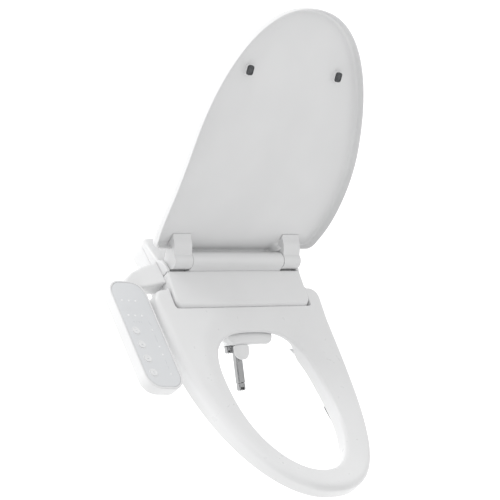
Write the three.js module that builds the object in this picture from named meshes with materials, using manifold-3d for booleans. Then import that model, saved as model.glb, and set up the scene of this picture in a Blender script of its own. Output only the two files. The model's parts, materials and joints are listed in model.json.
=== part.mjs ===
// Electric bidet seat: seat unit with hinged lid, hinged seat ring, side control pod and spray wands.
// Millimetres, +Z up, -Y towards the front of the seat. The origin lies on the toilet rim plane,
// under the mounting bracket, halfway between its two bolts.
import * as THREE from "three";
import { mergeVertices } from "three/addons/utils/BufferGeometryUtils.js";
import Module from "manifold-3d";

const wasm = await Module();
wasm.setup();

// ---- driving dimensions ----
const GAP = 0.3; // between pieces that touch
const WALL = 3; // moulded wall

const RING_HALF_WIDTH = 188;
const RING_WIDEST_Y = -87;
const RING_TIP_Y = -455;
const RING_TOP = 41; // at the lowest point of its curved side profile
const RING_HEIGHT = 31;
const RING_LOW_Y = -245; // where the side profile is lowest
const RING_RISE = 17; // rise of the profile 200 mm away from its lowest point
const HOLE_HALF_WIDTH = 107;
const HOLE_WIDEST_Y = -260;
const HOLE_TIP_Y = -410;
const HOLE_REAR_Y = -138;
const RING_REAR_Y = -96.9; // front side of the notch that the cover sits in
const RING_SWEEP = 26.4; // round clearance about the seat hinge, so that the ring lifts past the cover
const EAR_REAR_Y = -61;
const EAR_INNER_X = 154.5;
const BRIDGE_HALF_WIDTH = 118;
const BRIDGE_CLEARANCE = 2.5; // between the nose and the ring above it

const BODY_HALF_WIDTH = 152;
const BODY_FRONT_Y = -92;
const BODY_REAR_Y = 48;
const BODY_BOTTOM = 7;
const SHELL_SPLIT = 40; // height of the seam between base and top cover
const COVER_FRONT = { y: -94.8, z: 54.3 };
const COVER_REAR = { y: -35.4, z: 65.7 };
const COVER_THICKNESS = 3;
const REAR_TOP = 50;

const HINGE = { y: -20, z: 73 };
const HINGE_RADIUS = 14;
const RIDGE_HALF_LENGTH = 104;
const LUG_INNER_X = 105;
const LUG_OUTER_X = 144;
const HINGE_PIN_RADIUS = 5;

const LID_OPEN_DEG = 122.4; // lid plane from horizontal, as stored
const LID_HALF_WIDTH = 191.5;
const LID_WIDEST = 125; // distances from the hinge axis along the lid
const LID_TIP = 441;
const LID_REAR = 19;
const LID_DEPTH = 20;
const LID_INNER_DEPTH = 14;
const LIP_OFFSET = -35.4; // rim plane below the hinge axis
const LIP_RISE = 59; // rim rises towards the hinge
const LIP_FLAT_FROM = 210;
const LIP_RUN = 235;
const LID_BUMPER = { x: 101, v: 331, faceAboveRim: 6 };

const SEAT_HINGE = { y: -73, z: 39, radius: 4.5, outer: 174 };

const POD = { x: -238, y: -140, width: 75, length: 208, top: 43, bottom: 20, corner: 27, yawDeg: -4.4 };
const OVERLAY = { width: 66, length: 198, thickness: 1.2, corner: 23 };
const BUTTON = { x: -17.7, firstY: 5, pitch: 26.5, count: 4, radius: 6.4, height: 3.4, proud: 0.9 };

const WAND = { x: [-14, -31.5], radius: 7.6, length: 84, stroke: 62, tiltDeg: 27.2 };
const WAND_TIP_EXTENDED = { y: -209, z: -29.7 };
const WAND_TIP_LENGTH = 12;
const WAND_GUIDE = { front: 74, back: 100, wall: 2.5 }; // distances back from the extended tip
const NOSE = { halfWidth: 51, frontY: -154, frontTop: 27, frontBottom: 21, bottomFrontY: -128 };

const GUARD = { length: 21, thickness: 2, x: -23, halfWidth: 17 };
const GUARD_HINGE = { y: -155, z: 24 };

const BRACKET = { halfWidth: 95, halfDepth: 36, thickness: 4 };
const BOLT = { spacing: 140, radius: 4, headRadius: 9, headHeight: 2.4 };

// ---- solids ----
function toSolid(geometry) {
  const bare = geometry.index ? geometry.toNonIndexed() : geometry.clone();
  bare.deleteAttribute("normal");
  bare.deleteAttribute("uv");
  const merged = mergeVertices(bare, 1e-4);
  return new wasm.Manifold(
    new wasm.Mesh({
      numProp: 3,
      vertProperties: new Float32Array(merged.attributes.position.array),
      triVerts: new Uint32Array(merged.index.array),
    }),
  );
}

function toGeometry(solid) {
  const mesh = solid.getMesh();
  const geometry = new THREE.BufferGeometry();
  geometry.setAttribute("position", new THREE.BufferAttribute(new Float32Array(mesh.vertProperties), 3));
  geometry.setIndex(new THREE.BufferAttribute(new Uint32Array(mesh.triVerts), 1));
  geometry.computeVertexNormals();
  return geometry;
}

function shapeOf(points, hole) {
  const shape = new THREE.Shape(points.map(([x, y]) => new THREE.Vector2(x, y)));
  if (hole) shape.holes.push(new THREE.Path(hole.map(([x, y]) => new THREE.Vector2(x, y))));
  return shape;
}

// Outline in X and Y, standing from z0 to z1.
function upright(shape, z0, z1) {
  const geometry = new THREE.ExtrudeGeometry(shape, { depth: z1 - z0, bevelEnabled: false, curveSegments: 8 });
  return toSolid(geometry.translate(0, 0, z0));
}

// Side profile in Y and Z, running across from x0 to x1.
function across(profile, x0, x1) {
  const geometry = new THREE.ExtrudeGeometry(shapeOf(profile), { depth: x1 - x0, bevelEnabled: false });
  const turn = new THREE.Matrix4().makeBasis(
    new THREE.Vector3(0, 1, 0),
    new THREE.Vector3(0, 0, 1),
    new THREE.Vector3(1, 0, 0),
  );
  return toSolid(geometry.applyMatrix4(turn).translate(x0, 0, 0));
}

function block(x0, x1, y0, y1, z0, z1) {
  const geometry = new THREE.BoxGeometry(x1 - x0, y1 - y0, z1 - z0);
  return toSolid(geometry.translate((x0 + x1) / 2, (y0 + y1) / 2, (z0 + z1) / 2));
}

// Round bar from point a to point b.
function rod(radius, a, b, sides = 20) {
  const from = new THREE.Vector3(...a);
  const along = new THREE.Vector3(...b).sub(from);
  const geometry = new THREE.CylinderGeometry(radius, radius, along.length(), sides);
  const turn = new THREE.Quaternion().setFromUnitVectors(
    new THREE.Vector3(0, 1, 0),
    along.clone().normalize(),
  );
  geometry.applyQuaternion(turn).translate(...from.addScaledVector(along, 0.5).toArray());
  return toSolid(geometry);
}

function roundedRectangle(width, length, radius) {
  const shape = new THREE.Shape();
  const w = width / 2;
  const l = length / 2;
  shape.absarc(w - radius, l - radius, radius, 0, Math.PI / 2);
  shape.absarc(-w + radius, l - radius, radius, Math.PI / 2, Math.PI);
  shape.absarc(-w + radius, -l + radius, radius, Math.PI, 1.5 * Math.PI);
  shape.absarc(w - radius, -l + radius, radius, 1.5 * Math.PI, 2 * Math.PI);
  return shape;
}

// Half a superellipse: half width at a distance t (0 to 1) from the widest place to the end.
const swell = (t, power) => Math.pow(Math.max(0, 1 - Math.pow(t, power)), 1 / power);

// Points of one side of an egg outline, from the front tip to the place where it is widest.
function eggFront(halfWidth, widestY, tipY, power, steps) {
  return Array.from({ length: steps }, (_, i) => {
    const t = Math.cos((i / steps) * (Math.PI / 2));
    return [halfWidth * swell(t, power), widestY + (tipY - widestY) * t];
  });
}

const mirrored = (side) => [...side].reverse().map(([x, y]) => [-x, y]);

// ---- seat ring ----
const ringRise = (y) => RING_RISE * Math.pow((y - RING_LOW_Y) / 200, 2);

function ringOutline(inset) {
  const side = eggFront(RING_HALF_WIDTH - inset, RING_WIDEST_Y, RING_TIP_Y + inset, 2.25, 20);
  side.push([RING_HALF_WIDTH - inset, RING_WIDEST_Y]);
  const earCorner = 20 - inset;
  for (let i = 1; i <= 4; i++) {
    const a = (i / 4) * (Math.PI / 2);
    side.push([
      RING_HALF_WIDTH - inset - earCorner * (1 - Math.cos(a)),
      EAR_REAR_Y - inset - earCorner * (1 - Math.sin(a)),
    ]);
  }
  side.push([EAR_INNER_X + inset, EAR_REAR_Y - inset]);
  side.push([EAR_INNER_X + inset, RING_REAR_Y - inset]);
  return [...side, ...mirrored(side).slice(0, -1)];
}

function holeOutline(inset) {
  const side = eggFront(HOLE_HALF_WIDTH + inset, HOLE_WIDEST_Y, HOLE_TIP_Y - inset, 2.1, 16);
  const rearSteps = 10;
  for (let i = 0; i < rearSteps; i++) {
    const t = Math.sin((i / rearSteps) * (Math.PI / 2));
    side.push([(HOLE_HALF_WIDTH + inset) * swell(t, 3), HOLE_WIDEST_Y + (HOLE_REAR_Y + inset - HOLE_WIDEST_Y) * t]);
  }
  side.push([0, HOLE_REAR_Y + inset]);
  return [...side, ...mirrored(side).slice(1, -1)];
}

// Layer that follows the ring's curved side profile, between two heights at its lowest point.
function ringLayer(bottom, top) {
  const from = RING_TIP_Y - 10;
  const to = EAR_REAR_Y + 10;
  const steps = 22;
  const stations = Array.from({ length: steps + 1 }, (_, i) => from + ((to - from) * i) / steps);
  const lower = stations.map((y) => [y, bottom + ringRise(y)]);
  const upper = stations.map((y) => [y, top + ringRise(y)]).reverse();
  return across([...lower, ...upper], -RING_HALF_WIDTH - 10, RING_HALF_WIDTH + 10);
}

const ringColumn = (inset) => upright(shapeOf(ringOutline(inset), holeOutline(inset)), -20, 120);

function seatHingeBores(radius) {
  const bores = [-1, 1].map((side) =>
    rod(radius, [side * (EAR_INNER_X - 6), SEAT_HINGE.y, SEAT_HINGE.z], [side * (SEAT_HINGE.outer + 1), SEAT_HINGE.y, SEAT_HINGE.z]),
  );
  return bores[0].add(bores[1]);
}

const noseTop = (y) =>
  SHELL_SPLIT + ((NOSE.frontTop - SHELL_SPLIT) * (y - BODY_FRONT_Y)) / (NOSE.frontY - BODY_FRONT_Y);

// Room under the ring's rear bridge for the sloping nose of the seat unit.
function bridgeRelief() {
  const [front, rear] = [-160, EAR_REAR_Y + 5];
  const profile = [
    [front, -20],
    [rear, -20],
    [rear, noseTop(rear) + BRIDGE_CLEARANCE],
    [front, noseTop(front) + BRIDGE_CLEARANCE],
  ];
  return across(profile, -BRIDGE_HALF_WIDTH, BRIDGE_HALF_WIDTH);
}

// Room that the fixed cover needs while the ring turns about its hinge.
const ringSweep = () =>
  rod(RING_SWEEP, [-EAR_INNER_X, SEAT_HINGE.y, SEAT_HINGE.z], [EAR_INNER_X, SEAT_HINGE.y, SEAT_HINGE.z], 48);

function seatRingTop() {
  const skin = 4;
  const bottom = RING_TOP - RING_HEIGHT;
  const outer = ringLayer(bottom, RING_TOP).intersect(ringColumn(0));
  const hollow = ringLayer(bottom - 5, RING_TOP - skin)
    .intersect(ringColumn(skin))
    .intersect(block(-250, 250, -500, -160, -50, 150));
  return outer
    .subtract(hollow)
    .subtract(bridgeRelief())
    .subtract(ringSweep())
    .subtract(seatHingeBores(SEAT_HINGE.radius + 0.3));
}

function seatRingBase() {
  const bottom = RING_TOP - RING_HEIGHT + 0.5;
  return ringLayer(bottom, bottom + 2.5)
    .intersect(ringColumn(4.6))
    .intersect(block(-250, 250, -500, -161, -50, 150));
}

function seatHeater() {
  return ringLayer(RING_TOP - 12, RING_TOP - 11)
    .intersect(ringColumn(12))
    .intersect(block(-250, 250, -500, -165, -50, 150));
}

const SEAT_BUMPERS = [
  { name: "seat_bumper_front_right", x: 126, y: -285 },
  { name: "seat_bumper_front_left", x: -126, y: -285 },
  { name: "seat_bumper_rear_right", x: 146, y: -185 },
  { name: "seat_bumper_rear_left", x: -146, y: -185 },
];

// Rubber pad under the ring that stands on the toilet rim.
function seatBumper({ x, y }) {
  const top = RING_TOP - RING_HEIGHT + 0.2 + Math.min(ringRise(y - 20), ringRise(y + 20), ringRise(y));
  const foot = upright(roundedRectangle(18, 38, 7), 0.2, top - GAP);
  return foot.translate(x, y, 0);
}

// ---- lid, built flat in its own frame: hinge axis at the origin, closed, front towards -Y ----
const lipHeight = (v) => LIP_OFFSET + LIP_RISE * Math.pow(Math.max(0, LIP_FLAT_FROM - v) / LIP_RUN, 2);

function lidLayer(low, high) {
  const steps = 24;
  const stations = Array.from({ length: steps + 1 }, (_, i) => LID_REAR - 6 + ((LID_TIP + 12 - LID_REAR) * i) / steps);
  const upper = stations.map((v) => [-v, lipHeight(v) + high]);
  const lower = stations.map((v) => [-v, lipHeight(v) + low]).reverse();
  return across([...upper, ...lower], -LID_HALF_WIDTH - 10, LID_HALF_WIDTH + 10);
}

function lidOutline(inset) {
  const side = eggFront(LID_HALF_WIDTH - inset, -LID_WIDEST, -LID_TIP + inset, 2.2, 22);
  const rearRun = 172;
  const corner = 16;
  for (const v of [125, 100, 80, 62, 50, LID_REAR + inset + corner]) {
    side.push([LID_HALF_WIDTH - inset - LID_HALF_WIDTH * (1 - swell((LID_WIDEST - v) / rearRun, 3)), -v]);
  }
  const [cornerX] = side[side.length - 1];
  for (let i = 1; i <= 4; i++) {
    const a = (i / 4) * (Math.PI / 2);
    side.push([cornerX - corner * (1 - Math.cos(a)), -LID_REAR - inset - corner * (1 - Math.sin(a))]);
  }
  return [...side, ...mirrored(side).slice(0, -1)];
}

const lidColumn = (inset) => upright(shapeOf(lidOutline(inset)), -120, 120);

function lidShell() {
  const outer = lidLayer(0, LID_DEPTH).intersect(lidColumn(0));
  const hollow = lidLayer(-8, LID_INNER_DEPTH).intersect(lidColumn(WALL));
  const lugRoom = [-1, 1].map((side) => {
    const x = [side * (LUG_INNER_X - 1), side * (LUG_OUTER_X + 1)].sort((a, b) => a - b);
    return block(x[0], x[1], -LID_REAR - WALL - 2, -LID_REAR + 8, -60, LIP_OFFSET + 50);
  });
  return outer.subtract(hollow).subtract(lugRoom[0]).subtract(lugRoom[1]);
}

// Arm from the lid panel round the hinge pin.
function lidLug(side) {
  const x = [side * LUG_INNER_X, side * LUG_OUTER_X].sort((a, b) => a - b);
  const reach = 62;
  const top = (v) => lipHeight(v) + LID_INNER_DEPTH - GAP - 1.1;
  const arm = [
    [0, HINGE_RADIUS - 0.5],
    [-14, 14],
    [-LID_REAR - 4, top(LID_REAR + 4)],
    [-reach, top(reach)],
    [-reach, top(reach) - 3],
    [-14, -6],
    [0, -8],
  ];
  const barrel = rod(HINGE_RADIUS, [x[0], 0, 0], [x[1], 0, 0], 28);
  const bore = rod(HINGE_PIN_RADIUS + 0.35, [x[0] - 1, 0, 0], [x[1] + 1, 0, 0]);
  return barrel.add(across(arm.reverse(), x[0], x[1])).subtract(bore);
}

function lidBumper(side) {
  const top = LIP_OFFSET + LID_INNER_DEPTH - GAP;
  const pad = upright(roundedRectangle(12, 16, 4), LIP_OFFSET + LID_BUMPER.faceAboveRim, top);
  return pad.translate(side * LID_BUMPER.x, -LID_BUMPER.v, 0);
}

// ---- seat unit ----
const coverSlope = (COVER_REAR.z - COVER_FRONT.z) / (COVER_REAR.y - COVER_FRONT.y);
const coverTop = (y) => COVER_FRONT.z + coverSlope * (y - COVER_FRONT.y);

function baseHousing() {
  const w = BODY_HALF_WIDTH;
  const body = block(-w, w, BODY_FRONT_Y, BODY_REAR_Y, BODY_BOTTOM, SHELL_SPLIT);
  const n = NOSE.halfWidth;
  const nose = across(
    [
      [BODY_FRONT_Y + 1, BODY_BOTTOM],
      [BODY_FRONT_Y + 1, SHELL_SPLIT],
      [BODY_FRONT_Y, SHELL_SPLIT],
      [NOSE.frontY, NOSE.frontTop],
      [NOSE.frontY, NOSE.frontBottom],
      [NOSE.bottomFrontY, BODY_BOTTOM],
    ].reverse(),
    -n,
    n,
  );
  const inside = block(-w + WALL, w - WALL, BODY_FRONT_Y + WALL, BODY_REAR_Y - WALL, BODY_BOTTOM + WALL, SHELL_SPLIT + 5);
  const innerRear = BODY_FRONT_Y + WALL + 1;
  const noseInside = across(
    [
      [innerRear, BODY_BOTTOM - 5],
      [innerRear, noseTop(innerRear) - WALL - 0.5],
      [NOSE.frontY + WALL, NOSE.frontTop - WALL],
      [NOSE.frontY + WALL, BODY_BOTTOM - 5],
    ].reverse(),
    -n + WALL,
    n - WALL,
  );
  const bracketRoom = block(
    -BRACKET.halfWidth - 2,
    BRACKET.halfWidth + 2,
    -BRACKET.halfDepth - 2,
    BRACKET.halfDepth + 2,
    BODY_BOTTOM - 5,
    BODY_BOTTOM,
  );
  const releaseRoom = block(w - WALL - 1, w + 1, -12, 12, 20, 30);
  const glandRoom = rod(6.3, [-100, BODY_REAR_Y - 5, 24], [-100, BODY_REAR_Y + 1, 24]);
  const inletRoom = rod(8.3, [110, BODY_REAR_Y - 5, 24], [110, BODY_REAR_Y + 1, 24]);
  return body
    .add(nose)
    .subtract(inside)
    .subtract(noseInside)
    .subtract(bracketRoom)
    .subtract(releaseRoom)
    .subtract(glandRoom)
    .subtract(inletRoom)
    .subtract(wandPath(WAND.radius + 3));
}

// Low cheek of the top cover beside the outer end of a lug.
function coverCheek(side) {
  const x = [side * (LUG_OUTER_X + 0.8), side * BODY_HALF_WIDTH].sort((a, b) => a - b);
  const seatY = HINGE.y - HINGE_RADIUS;
  const profile = [
    [seatY, REAR_TOP],
    [HINGE.y + 14, REAR_TOP],
    [HINGE.y + 10, HINGE.z - 11],
    [HINGE.y, HINGE.z - 6],
    [seatY, HINGE.z - 6],
  ];
  return across(profile, x[0], x[1]);
}

function topCover() {
  const under = COVER_THICKNESS + GAP;
  const split = SHELL_SPLIT + GAP;
  const seatY = HINGE.y - HINGE_RADIUS - 4;
  const behindY = HINGE.y + HINGE_RADIUS + 4;
  const profile = [
    [BODY_FRONT_Y, split],
    [BODY_REAR_Y, split],
    [BODY_REAR_Y, REAR_TOP - 6],
    [BODY_REAR_Y - 12, REAR_TOP],
    [behindY, REAR_TOP + 6],
    [seatY + 4, REAR_TOP + 6],
    [seatY + 4, coverTop(seatY) - under],
    [BODY_FRONT_Y, coverTop(BODY_FRONT_Y) - under],
  ];
  const inner = [
    [BODY_FRONT_Y + WALL, split - 5],
    [BODY_REAR_Y - WALL, split - 5],
    [BODY_REAR_Y - WALL, REAR_TOP - 8],
    [BODY_REAR_Y - 13, REAR_TOP - WALL],
    [behindY, REAR_TOP + 6 - WALL],
    [seatY, REAR_TOP + 6 - WALL],
    [seatY, coverTop(seatY) - under - WALL],
    [BODY_FRONT_Y + WALL, coverTop(BODY_FRONT_Y) - under - WALL],
  ];
  const w = BODY_HALF_WIDTH;
  return across(profile, -w, w)
    .add(coverCheek(-1))
    .add(coverCheek(1))
    .subtract(across(inner, -w + WALL, w - WALL))
    .subtract(wandPath(WAND.radius + 1));
}

// Sloping cover plate in the ring's rear notch.
function coverPlate() {
  const profile = [
    [COVER_FRONT.y, COVER_FRONT.z - COVER_THICKNESS],
    [COVER_REAR.y, COVER_REAR.z - COVER_THICKNESS],
    [COVER_REAR.y, COVER_REAR.z],
    [COVER_FRONT.y + 2, COVER_FRONT.z],
    [COVER_FRONT.y, COVER_FRONT.z - 1.5],
  ];
  return across(profile, -BODY_HALF_WIDTH, BODY_HALF_WIDTH);
}

// Rounded ridge between the lid lugs, which holds the hinge pins.
function hingeRidge() {
  const foot = REAR_TOP + 6 + GAP;
  const barrel = rod(
    HINGE_RADIUS,
    [-RIDGE_HALF_LENGTH, HINGE.y, HINGE.z],
    [RIDGE_HALF_LENGTH, HINGE.y, HINGE.z],
    28,
  );
  const skirt = [
    [COVER_REAR.y + 2, foot],
    [HINGE.y + HINGE_RADIUS, foot],
    [HINGE.y + HINGE_RADIUS - 1, HINGE.z - 2],
    [COVER_REAR.y + 2, HINGE.z - 3],
  ];
  const bores = [-1, 1].map((side) =>
    rod(
      HINGE_PIN_RADIUS + GAP,
      [side * (RIDGE_HALF_LENGTH - 22), HINGE.y, HINGE.z],
      [side * (RIDGE_HALF_LENGTH + 2), HINGE.y, HINGE.z],
    ),
  );
  return barrel
    .add(across(skirt, -RIDGE_HALF_LENGTH, RIDGE_HALF_LENGTH))
    .subtract(bores[0])
    .subtract(bores[1]);
}

const lidPin = (side) =>
  rod(
    HINGE_PIN_RADIUS,
    [side * (RIDGE_HALF_LENGTH - 20), HINGE.y, HINGE.z],
    [side * (LUG_OUTER_X - 3), HINGE.y, HINGE.z],
    16,
  );

const seatPin = (side) =>
  rod(
    SEAT_HINGE.radius,
    [side * (BODY_HALF_WIDTH + GAP), SEAT_HINGE.y, SEAT_HINGE.z],
    [side * SEAT_HINGE.outer, SEAT_HINGE.y, SEAT_HINGE.z],
    16,
  );

// ---- spray wands ----
const wandTilt = THREE.MathUtils.degToRad(WAND.tiltDeg);
const wandDirection = { y: -Math.cos(wandTilt), z: -Math.sin(wandTilt) };

// Point on a wand's axis, a distance back from its fully extended tip.
const onWandAxis = (x, back) => [
  x,
  WAND_TIP_EXTENDED.y - wandDirection.y * back,
  WAND_TIP_EXTENDED.z - wandDirection.z * back,
];

function wandPath(radius) {
  const [a, b] = WAND.x.map((x) => rod(radius, onWandAxis(x, 20), onWandAxis(x, WAND.stroke + WAND.length + 2)));
  return a.add(b);
}

const wand = (x, retraction) =>
  rod(WAND.radius, onWandAxis(x, retraction + WAND_TIP_LENGTH + GAP), onWandAxis(x, retraction + WAND.length), 24);

const wandTip = (x, retraction) =>
  rod(WAND.radius - 0.4, onWandAxis(x, retraction), onWandAxis(x, retraction + WAND_TIP_LENGTH), 24);

// Block inside the nose that both wands slide in.
function wandGuide() {
  const [xa, xb] = WAND.x;
  const { front, back, wall } = WAND_GUIDE;
  const cheek = (x) => rod(WAND.radius + wall, onWandAxis(x, front), onWandAxis(x, back), 24);
  const bore = (x) => rod(WAND.radius + 0.4, onWandAxis(x, front - 2), onWandAxis(x, back + 2), 24);
  return cheek(xa).add(cheek(xb)).subtract(bore(xa)).subtract(bore(xb));
}

// Hinged tongue that lies over the wands where they come out of the nose.
function wandGuard() {
  const { length, thickness, x, halfWidth } = GUARD;
  const root = GUARD_HINGE;
  const slope = Math.tan(wandTilt);
  const profile = [
    [root.y, root.z - 1.5],
    [root.y, root.z + 1.5],
    [root.y - 5, root.z + 0.2],
    [root.y - length, root.z + 1.2 - slope * length],
    [root.y - length, root.z + 1.2 - slope * length - thickness],
    [root.y - 5, root.z + 0.2 - thickness],
  ];
  return across(profile.reverse(), x - halfWidth, x + halfWidth);
}

// ---- inside the unit ----
function heaterTank() {
  return upright(roundedRectangle(78, 64, 8), 11, 37).translate(98, -54, 0);
}

function circuitBoard() {
  return block(-140, -74, -84, -16, 12, 13.6);
}

function boardCapacitor() {
  return rod(8, [-124, -68, 13.9], [-124, -68, 34], 18);
}

function solenoidValve() {
  const body = block(98, 124, 4, 30, 14, 34);
  return body.add(rod(8, [111, 17, 30], [111, 17, 37.5], 18));
}

function dryerFan() {
  const drum = rod(24, [-30, 20, 11.2], [-30, 20, 36], 28);
  return drum.add(block(-30, 6, 20, 42, 13, 33));
}

const wandMotor = (x) => rod(7, [x, -22, 31], [x, -6, 31], 18);

function waterInlet() {
  const collar = rod(8, [110, BODY_REAR_Y - 6, 24], [110, BODY_REAR_Y + 6, 24], 20);
  return collar.add(rod(10, [110, BODY_REAR_Y + GAP, 24], [110, BODY_REAR_Y + 4, 24], 6));
}

function cordGland() {
  const neck = rod(6, [-100, BODY_REAR_Y - 6, 24], [-100, BODY_REAR_Y + 5, 24], 18);
  return neck.add(rod(8.5, [-100, BODY_REAR_Y + GAP, 24], [-100, BODY_REAR_Y + 3, 24], 18));
}

function releaseButton() {
  const x = BODY_HALF_WIDTH;
  return block(x - 8, x + 2.2, -11.6, 11.6, 20.4, 29.6);
}

// ---- mounting ----
function mountingBracket() {
  const plate = upright(roundedRectangle(2 * BRACKET.halfWidth, 2 * BRACKET.halfDepth, 10), 0, BRACKET.thickness);
  const [left, right] = [-1, 1].map((side) =>
    rod(BOLT.radius + 0.4, [(side * BOLT.spacing) / 2, 0, -1], [(side * BOLT.spacing) / 2, 0, 10]),
  );
  return plate.subtract(left).subtract(right);
}

function mountingBolt(side) {
  const x = (side * BOLT.spacing) / 2;
  const head = rod(BOLT.headRadius, [x, 0, BRACKET.thickness + GAP], [x, 0, BRACKET.thickness + BOLT.headHeight]);
  return head.add(rod(BOLT.radius, [x, 0, -30], [x, 0, BRACKET.thickness + 1], 16));
}

function mountingNut(side) {
  const x = (side * BOLT.spacing) / 2;
  const body = rod(11, [x, 0, -24], [x, 0, -12], 6);
  return body.subtract(rod(BOLT.radius + 0.3, [x, 0, -25], [x, 0, -11]));
}

// ---- control pod, built about its own centre ----
function podShell() {
  const tub = upright(roundedRectangle(POD.width, POD.length, POD.corner), POD.bottom, POD.top);
  const recess = upright(roundedRectangle(OVERLAY.width + 1, OVERLAY.length + 1, OVERLAY.corner), POD.top - 1.6, POD.top + 5);
  const inside = upright(
    roundedRectangle(POD.width - 2 * WALL - 4, POD.length - 2 * WALL - 4, POD.corner - WALL - 2),
    POD.bottom + WALL,
    POD.top + 5,
  );
  return tub.subtract(recess).subtract(inside);
}

// Arm that carries the pod beside the ring, moulded on the seat unit's left side.
function podArm() {
  const outline = [
    [-BODY_HALF_WIDTH - GAP, -48],
    [-BODY_HALF_WIDTH - GAP, -6],
    [-176, -8],
    [-200, -16],
    [-222, -30],
    [-222, -36.2],
    [-206, -38],
    [-192.5, -48],
  ];
  return upright(shapeOf(outline.reverse()), POD.bottom, POD.top - 3);
}

const buttonCentre = (i) => [BUTTON.x, BUTTON.firstY - i * BUTTON.pitch];

function podOverlay() {
  let sheet = upright(roundedRectangle(OVERLAY.width, OVERLAY.length, OVERLAY.corner), POD.top - 1.3, POD.top - 0.1);
  for (let i = 0; i < BUTTON.count; i++) {
    const [x, y] = buttonCentre(i);
    sheet = sheet.subtract(rod(BUTTON.radius + 0.4, [x, y, POD.top - 5], [x, y, POD.top + 5], 24));
  }
  return sheet;
}

function podButton(i) {
  const [x, y] = buttonCentre(i);
  const top = POD.top - 0.1 + BUTTON.proud;
  return rod(BUTTON.radius, [x, y, top - BUTTON.height], [x, y, top], 24);
}

const podBoard = () => block(-24, 24, -88, 60, 34, 35.6);

// ---- colours ----
const white = { color: 0xeef0f1, roughness: 0.3, metalness: 0 };
const finishes = {
  shell: white,
  lid: { color: 0xf0f1f2, roughness: 0.28, metalness: 0 },
  overlay: { color: 0xcfd6db, roughness: 0.35, metalness: 0 },
  button: { color: 0xe3e8eb, roughness: 0.35, metalness: 0 },
  rubber: { color: 0x6b6e72, roughness: 0.8, metalness: 0 },
  chrome: { color: 0xd8dadc, roughness: 0.08, metalness: 1 },
  steel: { color: 0xa8abad, roughness: 0.35, metalness: 1 },
  inner: { color: 0x3c4348, roughness: 0.6, metalness: 0 },
  board: { color: 0x1f5c3a, roughness: 0.6, metalness: 0 },
};

function piece(name, solid, finish) {
  const mesh = new THREE.Mesh(toGeometry(solid), new THREE.MeshStandardMaterial(finishes[finish]));
  mesh.name = name;
  return mesh;
}

// ---- assembly ----
const SIDES = [
  ["left", -1],
  ["right", 1],
];

function unitGroup() {
  const group = new THREE.Group();
  group.add(piece("mounting_bracket", mountingBracket(), "inner"));
  group.add(piece("base_housing", baseHousing(), "shell"));
  group.add(piece("top_cover", topCover(), "shell"));
  group.add(piece("cover_plate", coverPlate(), "shell"));
  group.add(piece("hinge_ridge", hingeRidge(), "shell"));
  group.add(piece("heater_tank", heaterTank(), "inner"));
  group.add(piece("circuit_board", circuitBoard(), "board"));
  group.add(piece("board_capacitor", boardCapacitor(), "inner"));
  group.add(piece("solenoid_valve", solenoidValve(), "inner"));
  group.add(piece("dryer_fan", dryerFan(), "inner"));
  group.add(piece("water_inlet", waterInlet(), "steel"));
  group.add(piece("cord_gland", cordGland(), "rubber"));
  group.add(piece("release_button", releaseButton(), "button"));
  group.add(piece("wand_guide", wandGuide(), "shell"));
  group.add(piece("wand_guard", wandGuard(), "shell"));
  for (const [name, side] of SIDES) {
    group.add(piece(`mounting_bolt_${name}`, mountingBolt(side), "steel"));
    group.add(piece(`mounting_nut_${name}`, mountingNut(side), "inner"));
    group.add(piece(`lid_hinge_pin_${name}`, lidPin(side), "steel"));
    group.add(piece(`seat_hinge_pin_${name}`, seatPin(side), "steel"));
  }
  const wands = [
    ["rear", WAND.x[0], 0],
    ["front", WAND.x[1], WAND.stroke],
  ];
  for (const [name, x, retraction] of wands) {
    group.add(piece(`${name}_wash_wand`, wand(x, retraction), "chrome"));
    group.add(piece(`${name}_wash_tip`, wandTip(x, retraction), "chrome"));
    group.add(piece(`${name}_wand_motor`, wandMotor(x), "inner"));
  }
  return group;
}

function podGroup() {
  const group = new THREE.Group();
  group.add(piece("pod_shell", podShell(), "shell"));
  group.add(piece("pod_overlay", podOverlay(), "overlay"));
  group.add(piece("pod_board", podBoard(), "board"));
  for (let i = 0; i < BUTTON.count; i++) {
    group.add(piece(`pod_button_${i + 1}`, podButton(i), "button"));
  }
  group.position.set(POD.x, POD.y, 0);
  group.rotation.z = THREE.MathUtils.degToRad(POD.yawDeg);
  return group;
}

function ringGroup() {
  const group = new THREE.Group();
  group.add(piece("seat_ring_top", seatRingTop(), "shell"));
  group.add(piece("seat_ring_base", seatRingBase(), "shell"));
  group.add(piece("seat_heater", seatHeater(), "inner"));
  for (const bumper of SEAT_BUMPERS) {
    group.add(piece(bumper.name, seatBumper(bumper), "rubber"));
  }
  return group;
}

function lidGroup() {
  const group = new THREE.Group();
  group.add(piece("lid_shell", lidShell(), "lid"));
  for (const [name, side] of SIDES) {
    group.add(piece(`lid_lug_${name}`, lidLug(side), "lid"));
    group.add(piece(`lid_bumper_${name}`, lidBumper(side), "rubber"));
  }
  group.position.set(0, HINGE.y, HINGE.z);
  group.rotation.x = THREE.MathUtils.degToRad(-LID_OPEN_DEG);
  return group;
}

const bidetSeat = new THREE.Group();
bidetSeat.add(unitGroup(), podGroup(), ringGroup(), lidGroup());
bidetSeat.add(piece("pod_arm", podArm(), "shell"));

export default bidetSeat;
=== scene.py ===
"""Looks of an electric bidet seat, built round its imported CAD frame.

Lengths in this script are in millimetres, in the frame of the part: +X right, -Y front, +Z up.
They are turned into metres when a mesh is made.
"""

import json
import math

import bmesh
import bpy
import numpy as np
from mathutils import Matrix, Vector
from mathutils.geometry import delaunay_2d_cdt


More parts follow.
